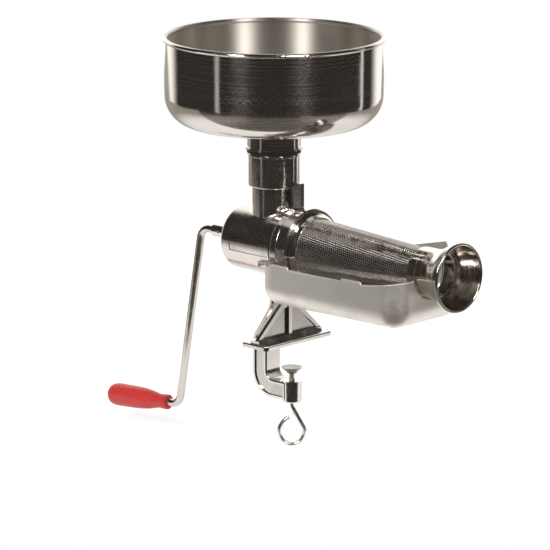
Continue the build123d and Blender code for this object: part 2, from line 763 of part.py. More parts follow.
def tray_hook(side):
    """Welded strap that rests on the barrel's peg."""
    edges = sorted((side * hook_inner_edge, side * (hook_inner_edge + hook_width)))
    return block((hook_start, hook_start + hook_length), edges,
                 (-tray_rim, hook_thickness - tray_rim))


pieces = {
    "barrel_casting": barrel_casting(),
    "throat_casting": throat_casting(),
    "clamp_frame": clamp_frame(),
    "clamp_screw": clamp_screw(),
    "pressure_pad": pressure_pad(),
    "rear_bush": rear_bush(),
    "shaft_seal": ring_on_shaft(seal_radius, rear_wall - barrel_back, seal_thickness, turn_fit),
    "thrust_washer": ring_on_shaft(washer_radius, rear_wall - barrel_back + seal_thickness,
                                   washer_thickness, slip_fit),
    "drive_shaft": drive_shaft(),
    "auger": auger(),
    "auger_pin": auger_pin(),
    "crank_rod": crank_rod(),
    "crank_pin": crank_pin(),
    "grip": grip(),
    "grip_ferrule": ferrule(),
    "grip_washer": end_washer(),
    "grip_rivet": end_rivet(),
    "hopper_bowl": hopper_bowl(),
    "hopper_spigot": hopper_spigot(),
    "hopper_stop": ring_on_insert(stop_radius, lip_top + gasket_thickness, stop_thickness),
    "hopper_gasket": ring_on_insert(gasket_radius, lip_top, gasket_thickness),
    "bayonet_pins": Compound(children=bayonet_pins()),
    "strainer_ring": strainer_ring(),
    "strainer_seal": strainer_seal(),
    "cone_shoulder": cone_shoulder(),
    "strainer_cone": strainer_cone(),
    "cone_end_ring": cone_end_ring(),
    "discharge_cup": discharge_cup(),
    "tray_pan": tray_pan(),
    "tray_hook_near": tray_hook(-1),
    "tray_hook_far": tray_hook(1),
}

os.makedirs("parts", exist_ok=True)
for name, piece in pieces.items():
    export_step(placed(piece), f"parts/{name}.step")
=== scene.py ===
import math
import bpy
import bmesh
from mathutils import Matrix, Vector


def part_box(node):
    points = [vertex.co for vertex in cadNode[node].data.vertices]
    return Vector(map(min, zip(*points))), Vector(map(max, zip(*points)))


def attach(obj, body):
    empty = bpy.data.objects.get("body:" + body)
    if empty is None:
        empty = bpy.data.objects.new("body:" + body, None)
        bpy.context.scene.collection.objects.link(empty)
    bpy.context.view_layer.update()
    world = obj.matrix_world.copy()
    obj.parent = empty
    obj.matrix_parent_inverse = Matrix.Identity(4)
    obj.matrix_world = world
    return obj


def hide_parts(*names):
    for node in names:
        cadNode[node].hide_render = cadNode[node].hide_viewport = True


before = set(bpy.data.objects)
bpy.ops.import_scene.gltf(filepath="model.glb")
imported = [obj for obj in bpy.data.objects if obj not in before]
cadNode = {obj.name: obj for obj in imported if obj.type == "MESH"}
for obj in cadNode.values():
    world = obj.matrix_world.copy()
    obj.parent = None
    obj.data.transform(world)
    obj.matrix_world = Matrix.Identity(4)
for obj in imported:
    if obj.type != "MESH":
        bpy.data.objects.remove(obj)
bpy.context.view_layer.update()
scene = bpy.context.scene

# the two axes that everything is built about, read from the frame
spigotLow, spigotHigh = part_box("hopper_spigot")
shaftLow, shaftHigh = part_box("drive_shaft")
throatX = (spigotLow[0] + spigotHigh[0]) / 2
barrelZ = (shaftLow[2] + shaftHigh[2]) / 2


def newGroup(name, inputs, outputs):
    tree = bpy.data.node_groups.new(name, "ShaderNodeTree")
    for label, kind, value in inputs:
        socket = tree.interface.new_socket(label, in_out="INPUT", socket_type=kind)
        if value is not None:
            socket.default_value = value
    for label, kind in outputs:
        tree.interface.new_socket(label, in_out="OUTPUT", socket_type=kind)
    start = tree.nodes.new("NodeGroupInput")
    end = tree.nodes.new("NodeGroupOutput")
    return tree, start, end


def addNode(tree, kind, **settings):
    node = tree.nodes.new(kind)
    for key, value in settings.items():
        setattr(node, key, value)
    return node


def mathNode(tree, operation, a, b=None):
    node = addNode(tree, "ShaderNodeMath", operation=operation)
    for slot, value in enumerate((a, b)):
        if value is None:
            continue
        if isinstance(value, (int, float)):
            node.inputs[slot].default_value = value
        else:
            tree.links.new(value, node.inputs[slot])
    return node.outputs[0]


def multiply(tree, a, b):
    return mathNode(tree, "MULTIPLY", a, b)


def add(tree, a, b):
    return mathNode(tree, "ADD", a, b)


def lengthOf(tree, a, b):
    return mathNode(tree, "SQRT", add(tree, mathNode(tree, "POWER", a, 2.0), mathNode(tree, "POWER", b, 2.0)))


def splitVector(tree, vector):
    node = addNode(tree, "ShaderNodeSeparateXYZ")
    tree.links.new(vector, node.inputs[0])
    return node.outputs


def vectorOf(tree, x, y, z):
    join = addNode(tree, "ShaderNodeCombineXYZ")
    for socket, value in zip(join.inputs, (x, y, z)):
        if isinstance(value, (int, float)):
            socket.default_value = value
        else:
            tree.links.new(value, socket)
    return join.outputs[0]


def mapRange(tree, value, low, high, toLow=0.0, toHigh=1.0):
    node = addNode(tree, "ShaderNodeMapRange", interpolation_type="SMOOTHSTEP")
    tree.links.new(value, node.inputs["Value"])
    node.inputs["From Min"].default_value = low
    node.inputs["From Max"].default_value = high
    node.inputs["To Min"].default_value = toLow
    node.inputs["To Max"].default_value = toHigh
    return node.outputs["Result"]


def scaled(color, factor):
    return tuple(c * factor for c in color)


def mixColor(tree, factor, first, second):
    node = addNode(tree, "ShaderNodeMix", data_type="RGBA")
    for socket, value in ((node.inputs[0], factor), (node.inputs[6], first), (node.inputs[7], second)):
        if isinstance(value, (int, float)):
            socket.default_value = value
        elif isinstance(value, tuple):
            socket.default_value = (*value, 1.0)
        else:
            tree.links.new(value, socket)
    return node.outputs[2]


def buildScratches():
    # fine parallel lines: noise squeezed along the two directions given by Stretch
    tree, start, end = newGroup(
        "fineScratches",
        [("Vector", "NodeSocketVector", None), ("Stretch", "NodeSocketVector", (1.0, 1.0, 60.0)),
         ("Scale", "NodeSocketFloat", 40.0)],
        [("Lines", "NodeSocketFloat")])
    squeeze = addNode(tree, "ShaderNodeVectorMath", operation="MULTIPLY")
    tree.links.new(start.outputs["Vector"], squeeze.inputs[0])
    tree.links.new(start.outputs["Stretch"], squeeze.inputs[1])
    lines = addNode(tree, "ShaderNodeTexNoise")
    lines.inputs["Detail"].default_value = 4.0
    lines.inputs["Roughness"].default_value = 0.7
    tree.links.new(squeeze.outputs[0], lines.inputs["Vector"])
    tree.links.new(start.outputs["Scale"], lines.inputs["Scale"])
    tree.links.new(lines.outputs["Fac"], end.inputs["Lines"])
    return tree


def buildSmudges():
    # finger marks and polishing haze, as a mask from 0 to 1
    tree, start, end = newGroup(
        "handlingSmudges",
        [("Vector", "NodeSocketVector", None), ("Scale", "NodeSocketFloat", 30.0),
         ("Amount", "NodeSocketFloat", 0.5)],
        [("Mask", "NodeSocketFloat")])
    blotch = addNode(tree, "ShaderNodeTexNoise")
    blotch.inputs["Detail"].default_value = 5.0
    blotch.inputs["Roughness"].default_value = 0.6
    blotch.inputs["Distortion"].default_value = 0.8
    tree.links.new(start.outputs["Vector"], blotch.inputs["Vector"])
    tree.links.new(start.outputs["Scale"], blotch.inputs["Scale"])
    spread = mapRange(tree, blotch.outputs["Fac"], 0.42, 0.72)
    tree.links.new(multiply(tree, spread, start.outputs["Amount"]), end.inputs["Mask"])
    return tree


def buildEdgeLiftAndCornerShade():
    # brighter on outer edges, and painted shade darkening the corners, from the mesh's own pointiness
    tree, start, end = newGroup(
        "edgeLiftAndCornerShade",
        [("Low", "NodeSocketFloat", 0.50), ("High", "NodeSocketFloat", 0.58)],
        [("Edge", "NodeSocketFloat"), ("Corner", "NodeSocketFloat")])
    geometry = addNode(tree, "ShaderNodeNewGeometry")
    edge = addNode(tree, "ShaderNodeMapRange")
    tree.links.new(geometry.outputs["Pointiness"], edge.inputs["Value"])
    tree.links.new(start.outputs["Low"], edge.inputs["From Min"])
    tree.links.new(start.outputs["High"], edge.inputs["From Max"])
    corner = mapRange(tree, geometry.outputs["Pointiness"], 0.42, 0.49, 1.0, 0.0)
    tree.links.new(edge.outputs["Result"], end.inputs["Edge"])
    tree.links.new(corner, end.inputs["Corner"])
    return tree


fineScratches = buildScratches()
handlingSmudges = buildSmudges()
edgeLiftAndCornerShade = buildEdgeLiftAndCornerShade()
print("shared surface effects ready")


def newMaterial(name):
    material = bpy.data.materials.new(name)
    material.use_nodes = True
    tree = material.node_tree
    shader = tree.nodes["Principled BSDF"]
    place = addNode(tree, "ShaderNodeTexCoord")
    return material, tree, shader, place.outputs["Object"]


def placeGroup(tree, group, vector=None, **values):
    node = addNode(tree, "ShaderNodeGroup", node_tree=group)
    if vector is not None:
        tree.links.new(vector, node.inputs["Vector"])
    for key, value in values.items():
        node.inputs[key].default_value = value
    return node


def centred(tree, vector, x=0.0, y=0.0, z=0.0, turn=(0.0, 0.0, 0.0)):
    # moves a pattern's origin onto a piece's axis, and turns it
    node = addNode(tree, "ShaderNodeMapping", vector_type="TEXTURE")
    node.inputs["Location"].default_value = (x, y, z)
    node.inputs["Rotation"].default_value = turn
    tree.links.new(vector, node.inputs["Vector"])
    return node.outputs[0]


def addBump(tree, shader, height, strength, distance):
    bump = addNode(tree, "ShaderNodeBump")
    bump.inputs["Strength"].default_value = strength
    bump.inputs["Distance"].default_value = distance
    tree.links.new(height, bump.inputs["Height"])
    tree.links.new(bump.outputs[0], shader.inputs["Normal"])


def roundTheAxis(tree, vector):
    # (radius, 0, height) of a point about +Z, so that noise on it runs in rings
    x, y, z = splitVector(tree, vector)
    radius = lengthOf(tree, x, y)
    return vectorOf(tree, radius, 0.0, z), radius, vectorOf(tree, x, y, 0.0)


# the corner values paint shade into corners; the smudge values are handling marks
metalWearAndShade = {"edgeLift": 1.22, "cornerShadeTone": 0.5, "cornerShadeMix": 0.6, "smudgeScale": 35.0, "smudgeTone": 0.82,
             "smudgeMix": 0.25, "smudgeRoughness": 0.12, "lineLow": 0.45, "lineHigh": 0.75,
             "waveDetail": 1.5, "bumpDepth": 0.0004}


def metalMaterial(name, color, roughness, stretch, scale, lineRoughness, bump, smudge,
                  centre=(0.0, 0.0, 0.0), turn=(0.0, 0.0, 0.0), rings=False,
                  edge=0.25, waves=0.0, waveScale=60.0, lineHeight=0.5):
    # one recipe for the object's metals, each with its own grain, haze and smudges, lighter edges and painted
    # shade in corners
    material, tree, shader, vector = newMaterial(name)
    vector = centred(tree, vector, *centre, turn=turn)
    grainVector = roundTheAxis(tree, vector)[0] if rings else vector
    lines = placeGroup(tree, fineScratches, grainVector, Stretch=stretch, Scale=scale).outputs["Lines"]
    smudges = placeGroup(tree, handlingSmudges, vector, Scale=metalWearAndShade["smudgeScale"],
                         Amount=smudge).outputs["Mask"]
    edgesAndShade = placeGroup(tree, edgeLiftAndCornerShade)
    light = tuple(min(1.0, c) for c in scaled(color, metalWearAndShade["edgeLift"]))
    tone = mixColor(tree, multiply(tree, edgesAndShade.outputs["Edge"], edge), color, light)
    # painted shade: the base colour is darkened in corners and creases
    tone = mixColor(tree, multiply(tree, edgesAndShade.outputs["Corner"], metalWearAndShade["cornerShadeMix"]), tone,
                    scaled(color, metalWearAndShade["cornerShadeTone"]))
    tone = mixColor(tree, multiply(tree, smudges, metalWearAndShade["smudgeMix"]), tone,
                    scaled(color, metalWearAndShade["smudgeTone"]))
    tree.links.new(tone, shader.inputs["Base Color"])
    lineMask = mapRange(tree, lines, metalWearAndShade["lineLow"], metalWearAndShade["lineHigh"])
    rough = add(tree, multiply(tree, lineMask, lineRoughness), roughness)
    rough = add(tree, rough, multiply(tree, smudges, metalWearAndShade["smudgeRoughness"]))
    tree.links.new(rough, shader.inputs["Roughness"])
    height = multiply(tree, lines, lineHeight)
    if waves:
        ripple = addNode(tree, "ShaderNodeTexNoise")
        ripple.inputs["Scale"].default_value = waveScale
        ripple.inputs["Detail"].default_value = metalWearAndShade["waveDetail"]
        tree.links.new(vector, ripple.inputs["Vector"])
        height = add(tree, height, multiply(tree, ripple.outputs["Fac"], waves))
    addBump(tree, shader, height, bump, metalWearAndShade["bumpDepth"])
    shader.inputs["Metallic"].default_value = 1.0
    return material


bowl = {"color": (0.66, 0.62, 0.575), "smudged": 0.85, "smudgeMix": 0.3, "smudgeRoughness": 0.05,
        "outside": 0.06, "inside": 0.40, "lines": 0.44, "lineScale": 520.0, "lineLow": 0.56, "lineHigh": 0.64,
        "bump": 0.05, "anisotropic": 0.95, "anisotropicTurn": 0.25}


def bowlMaterial():
    # mirror outside with faint spinning lines, satin inside
    material, tree, shader, vector = newMaterial("bowlSteel")
    vector = centred(tree, vector, throatX, 0.0, 0.0)
    ringVector, _, fromAxis = roundTheAxis(tree, vector)
    normal = addNode(tree, "ShaderNodeNewGeometry").outputs["True Normal"]
    outward = addNode(tree, "ShaderNodeVectorMath", operation="DOT_PRODUCT")
    tree.links.new(normal, outward.inputs[0])
    tree.links.new(fromAxis, outward.inputs[1])
    upward = splitVector(tree, normal)["Z"]
    inward = mathNode(tree, "SUBTRACT", multiply(tree, upward, 0.02), outward.outputs["Value"])
    inside = mapRange(tree, inward, -0.002, 0.002)
    outside = mathNode(tree, "SUBTRACT", 1.0, inside)
    lines = placeGroup(tree, fineScratches, ringVector, Stretch=(30.0, 1.0, 30.0),
                       Scale=bowl["lineScale"]).outputs["Lines"]
    smudges = placeGroup(tree, handlingSmudges, vector, Scale=26.0, Amount=0.5).outputs["Mask"]
    lineMask = mapRange(tree, lines, bowl["lineLow"], bowl["lineHigh"])
    rough = add(tree, multiply(tree, inside, bowl["inside"]), bowl["outside"])
    rough = add(tree, rough, multiply(tree, multiply(tree, lineMask, outside), bowl["lines"]))
    rough = add(tree, rough, multiply(tree, smudges, bowl["smudgeRoughness"]))
    tree.links.new(rough, shader.inputs["Roughness"])
    tone = mixColor(tree, multiply(tree, smudges, bowl["smudgeMix"]), bowl["color"],
                    scaled(bowl["color"], bowl["smudged"]))
    tree.links.new(tone, shader.inputs["Base Color"])
    addBump(tree, shader, lines, bowl["bump"], 0.0003)
    shader.inputs["Metallic"].default_value = 1.0
    shader.inputs["Anisotropic"].default_value = bowl["anisotropic"]       # spreads light up and down
    shader.inputs["Anisotropic Rotation"].default_value = bowl["anisotropicTurn"]
    return material


lacquer = {"color": (0.66, 0.040, 0.036), "deep": (0.52, 0.026, 0.022), "roughness": 0.42,
           "grainScale": 260.0, "grainMix": 0.35, "smudgeMix": 0.25, "smudgeRoughness": 0.15,
           "bump": 0.08, "coat": 0.12, "coatRoughness": 0.12}


def gripMaterial():
    # red lacquer over turned wood: faint grain and handling marks
    material, tree, shader, vector = newMaterial("gripLacquer")
    grain = placeGroup(tree, fineScratches, vector, Stretch=(0.05, 1.0, 1.0),
                       Scale=lacquer["grainScale"]).outputs["Lines"]
    smudges = placeGroup(tree, handlingSmudges, vector, Scale=60.0, Amount=0.6).outputs["Mask"]
    tone = mixColor(tree, mapRange(tree, grain, 0.35, 0.8, 0.0, lacquer["grainMix"]),
                    lacquer["color"], lacquer["deep"])
    tone = mixColor(tree, multiply(tree, smudges, lacquer["smudgeMix"]), tone, lacquer["deep"])
    tree.links.new(tone, shader.inputs["Base Color"])
    rough = add(tree, multiply(tree, smudges, lacquer["smudgeRoughness"]), lacquer["roughness"])
    tree.links.new(rough, shader.inputs["Roughness"])
    addBump(tree, shader, grain, lacquer["bump"], 0.0003)
    shader.inputs["Coat Weight"].default_value = lacquer["coat"]
    shader.inputs["Coat Roughness"].default_value = lacquer["coatRoughness"]
    return material


moulded = {"grainScale": 900.0, "grainRoughness": 0.15, "bump": 0.25, "bumpDepth": 0.0002}


def softMaterial(name, color, roughness):
    # rubber and nylon: matt, slightly mottled, with a moulded grain
    material, tree, shader, vector = newMaterial(name)
    grain = addNode(tree, "ShaderNodeTexNoise")
    grain.inputs["Scale"].default_value = moulded["grainScale"]
    grain.inputs["Detail"].default_value = 3.0
    tree.links.new(vector, grain.inputs["Vector"])
    smudges = placeGroup(tree, handlingSmudges, vector, Scale=80.0, Amount=0.7).outputs["Mask"]
    tone = mixColor(tree, smudges, color, tuple(c * 0.7 + 0.02 for c in color))
    tree.links.new(tone, shader.inputs["Base Color"])
    rough = add(tree, multiply(tree, grain.outputs["Fac"], moulded["grainRoughness"]), roughness)
    tree.links.new(rough, shader.inputs["Roughness"])
    addBump(tree, shader, grain.outputs["Fac"], moulded["bump"], moulded["bumpDepth"])
    return material


# the strainer cone: punched sheet, laid out flat as a sector and rolled up by the tree
coneLow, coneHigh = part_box("strainer_cone")
# the near-black colour for hole walls and the cone's inside is painted shade
cone = {"wall": 0.0008, "smallRadius": 0.022, "holePitch": 0.0026, "holeRadius": 0.00082, "holeSides": 12,
        "latticeTurn": math.radians(28), "rollOver": 0.00026, "margin": 0.7, "weld": 2e-5, "endTrim": 0.0002,
        "sideGap": 1e-6, "seamOver": 2.0, "seamUnder": 1.02,
        "edgeBand": 0.0042, "bandProud": 0.00004, "ringSides": 128, "seamWidth": 0.009, "seamSteps": 12,
        "color": (0.60, 0.565, 0.53), "hollow": (0.022, 0.020, 0.018), "roughness": 0.12,
        "hollowRoughness": 0.35, "hollowFrom": 0.00013, "hollowTo": 0.00030}
cone["bigRadius"] = (coneHigh[1] - coneLow[1]) / 2
cone["sine"] = math.sin(math.atan((cone["bigRadius"] - cone["smallRadius"]) / (coneHigh[0] - coneLow[0])))
cone["cosine"] = math.sqrt(1 - cone["sine"] ** 2)
cone["taper"] = cone["sine"] / cone["cosine"]
cone["apexX"] = coneLow[0] + cone["bigRadius"] / cone["sine"] * cone["cosine"]


def punchedMaterial():
    # bright rolled skin; whatever lies deeper than the skin, the hole walls and the inside, is painted near
    # black as shade and made dull
    material, tree, shader, vector = newMaterial("meshSteel")
    vector = centred(tree, vector, coneLow[0], 0.0, barrelZ)
    x, y, z = splitVector(tree, vector)
    skin = mathNode(tree, "SUBTRACT", cone["bigRadius"], multiply(tree, x, cone["taper"]))
    depth = mathNode(tree, "SUBTRACT", skin, lengthOf(tree, y, z))
    hollow = mapRange(tree, depth, cone["hollowFrom"], cone["hollowTo"])
    lines = placeGroup(tree, fineScratches, vector, Stretch=(1.0, 6.0, 6.0), Scale=150.0).outputs["Lines"]
    smudges = placeGroup(tree, handlingSmudges, vector, Scale=45.0, Amount=0.4).outputs["Mask"]
    tone = mixColor(tree, multiply(tree, smudges, 0.4), cone["color"], scaled(cone["color"], 0.7))
    # painted shade: hole walls and the cone's inside take the near-black colour
    tree.links.new(mixColor(tree, hollow, tone, cone["hollow"]), shader.inputs["Base Color"])
    rough = add(tree, multiply(tree, hollow, cone["hollowRoughness"]), cone["roughness"])
    rough = add(tree, rough, mapRange(tree, lines, 0.45, 0.75, 0.0, 0.12))
    tree.links.new(rough, shader.inputs["Roughness"])
    addBump(tree, shader, lines, 0.2, 0.0003)
    shader.inputs["Metallic"].default_value = 1.0
    return material


# pieces turned about the barrel's axis
turnedRound = {"centre": (0.0, 0.0, barrelZ), "turn": (0.0, math.pi / 2, 0.0), "rings": True}
metals = {
    "polishedCast": {"color": (0.66, 0.625, 0.59), "roughness": 0.11, "stretch": (1.0, 1.0, 5.0),
                     "scale": 900.0, "lineRoughness": 0.22, "bump": 0.12, "smudge": 0.7, "edge": 0.5,
                     "waves": 1.4, "waveScale": 34.0, "lineHeight": 0.01},
    "ringCast": {"color": (0.62, 0.59, 0.55), "roughness": 0.12, "stretch": (25.0, 1.0, 25.0), "scale": 700.0,
                 "lineRoughness": 0.22, "bump": 0.12, "smudge": 0.7, "edge": 0.5, "lineHeight": 0.02,
                 **turnedRound},
    "plainCast": {"color": (0.62, 0.61, 0.60), "roughness": 0.34, "stretch": (6.0, 6.0, 6.0), "scale": 120.0,
                  "lineRoughness": 0.2, "bump": 0.4, "smudge": 0.7, "edge": 0.4, "waves": 0.6,
                  "waveScale": 200.0},
    "polishedSteel": {"color": (0.66, 0.625, 0.58), "roughness": 0.09, "stretch": (1.0, 1.0, 30.0),
                      "scale": 80.0, "lineRoughness": 0.2, "bump": 0.18, "smudge": 0.6, "edge": 0.4,
                      **turnedRound},
    "spigotSteel": {"color": (0.66, 0.625, 0.58), "roughness": 0.09, "stretch": (1.0, 1.0, 8.0),
                    "scale": 700.0, "lineRoughness": 0.25, "bump": 0.12, "smudge": 0.6, "edge": 0.4,
                    "lineHeight": 0.02, "centre": (throatX, 0.0, 0.0), "rings": True},
    "cupSteel": {"color": (0.66, 0.62, 0.57), "roughness": 0.085, "stretch": (30.0, 1.0, 6.0), "scale": 70.0,
                 "lineRoughness": 0.2, "bump": 0.3, "smudge": 0.8, "edge": 0.5, "waves": 2.2,
                 "waveScale": 55.0, **turnedRound},
    "traySteel": {"color": (0.86, 0.82, 0.765), "roughness": 0.46, "stretch": (0.6, 3.0, 3.0), "scale": 120.0,
                  "lineRoughness": 0.08, "bump": 0.10, "smudge": 1.0, "edge": 0.5, "waves": 6.0,
                  "waveScale": 11.0},
    "drawnRod": {"color": (0.60, 0.57, 0.53), "roughness": 0.14, "stretch": (22.0, 22.0, 1.2), "scale": 110.0,
                 "lineRoughness": 0.16, "bump": 0.2, "smudge": 0.7, "edge": 0.3},
    "zincRod": {"color": (0.84, 0.82, 0.79), "roughness": 0.22, "stretch": (22.0, 22.0, 1.2), "scale": 110.0,
                "lineRoughness": 0.16, "bump": 0.2, "smudge": 0.8, "edge": 0.3},
    "roughPlated": {"color": (0.46, 0.435, 0.405), "roughness": 0.32, "stretch": (5.0, 5.0, 5.0),
                    "scale": 240.0, "lineRoughness": 0.25, "bump": 0.9, "smudge": 1.0, "edge": 0.6,
                    "waves": 1.2, "waveScale": 320.0},
    "bronze": {"color": (0.62, 0.42, 0.20), "roughness": 0.22, "stretch": (30.0, 1.0, 30.0), "scale": 90.0,
               "lineRoughness": 0.2, "bump": 0.2, "smudge": 0.6, **turnedRound},
}
finishes = {name: metalMaterial(name, **values) for name, values in metals.items()}
finishes["bowlSteel"] = bowlMaterial()
finishes["meshSteel"] = punchedMaterial()
finishes["gripLacquer"] = gripMaterial()
finishes["blackRubber"] = softMaterial("blackRubber", (0.022, 0.021, 0.020), 0.55)
finishes["whiteNylon"] = softMaterial("whiteNylon", (0.80, 0.79, 0.74), 0.40)

nodesOfFinish = {
    "polishedCast": ["barrel_casting", "throat_casting", "clamp_frame"],
    "ringCast": ["strainer_ring"],
    "plainCast": ["auger"],
    "polishedSteel": ["drive_shaft", "grip_washer", "cone_shoulder", "cone_end_ring"],
    "spigotSteel": ["hopper_spigot", "hopper_stop"],
    "cupSteel": ["discharge_cup"],
    "traySteel": ["tray_pan", "tray_hook_near", "tray_hook_far"],
    "drawnRod": ["clamp_screw", "auger_pin", "crank_rod", "crank_pin", "grip_rivet", "bayonet_pins"],
    "roughPlated": ["pressure_pad"],
    "bronze": ["rear_bush"],
    "bowlSteel": ["hopper_bowl"],
    "meshSteel": ["strainer_cone"],
    "gripLacquer": ["grip", "grip_ferrule"],
    "blackRubber": ["shaft_seal", "hopper_gasket", "strainer_seal"],
    "whiteNylon": ["thrust_washer"],
}
for finish, names in nodesOfFinish.items():
    for name in names:
        mesh = cadNode[name].data
        mesh.materials.clear()
        mesh.materials.append(finishes[finish])
print("materials assigned to", sum(len(names) for names in nodesOfFinish.values()), "nodes")


def newModifierTree(name, inputs):
    tree = bpy.data.node_groups.new(name, "GeometryNodeTree")
    tree.interface.new_socket("Geometry", in_out="INPUT", socket_type="NodeSocketGeometry")
    sockets = {}
    for label, kind in inputs:
        sockets[label] = tree.interface.new_socket(label, in_out="INPUT", socket_type=kind).identifier
    tree.interface.new_socket("Geometry", in_out="OUTPUT", socket_type="NodeSocketGeometry")
    return tree, tree.nodes.new("NodeGroupInput"), tree.nodes.new("NodeGroupOutput"), sockets


def positionParts(tree):
    return splitVector(tree, addNode(tree, "GeometryNodeInputPosition").outputs[0])


def finishTree(tree, start, end, geometry):
    realize = addNode(tree, "GeometryNodeRealizeInstances")
    paint = addNode(tree, "GeometryNodeSetMaterial")
    tree.links.new(geometry, realize.inputs[0])
    tree.links.new(realize.outputs[0], paint.inputs["Geometry"])
    tree.links.new(start.outputs["Finish"], paint.inputs["Material"])
    tree.links.new(paint.outputs[0], end.inputs[0])


def bakeTree(name, mesh, tree, sockets, values):
    # runs the tree once on a throw-away object and keeps the result as a plain mesh
    carrier = bpy.data.objects.new(name + "Carrier", mesh)
    scene.collection.objects.link(carrier)
    modifier = carrier.modifiers.new(name, "NODES")
    modifier.node_group = tree
    for label, value in values.items():
        modifier[sockets[label]] = value
    bpy.context.view_layer.update()
    evaluated = carrier.evaluated_get(bpy.context.evaluated_depsgraph_get())
    result = bpy.data.meshes.new_from_object(evaluated)
    bpy.data.objects.remove(carrier)
    result.name = name
    return result


def placePiece(name, mesh, body, slot, *nodes):
    piece = bpy.data.objects.new(name, mesh)
    scene.collection.objects.link(piece)
    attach(piece, body)
    if nodes:
        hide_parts(*nodes)
    print(name, len(mesh.polygons), "faces")


def punchedTile():
    # one hexagon of sheet round one hole; its outer points are shared with its neighbours
    tile = bmesh.new()
    rings = []
    for size, height in ((None, 0.0), (cone["holeRadius"] + cone["rollOver"], 0.0),
                         (cone["holeRadius"], -cone["rollOver"]), (cone["holeRadius"], -cone["wall"]),
                         (None, -cone["wall"])):
        ring = []
        for step in range(cone["holeSides"]):
            turn = 2 * math.pi * step / cone["holeSides"]
            edge = size or cone["holePitch"] / (math.sqrt(3) if step % 2 == 0 else 2)
            ring.append(tile.verts.new((edge * math.cos(turn), edge * math.sin(turn), height)))
        rings.append(ring)
    for outer, inner in zip(rings, rings[1:]):
        for step in range(cone["holeSides"]):
            after = (step + 1) % cone["holeSides"]
            tile.faces.new((outer[step], outer[after], inner[after], inner[step]))
    mesh = bpy.data.meshes.new("punchedTile")
    tile.to_mesh(mesh)
    tile.free()
    holder = bpy.data.objects.new("punchedTile", mesh)
    scene.collection.objects.link(holder)
    return holder


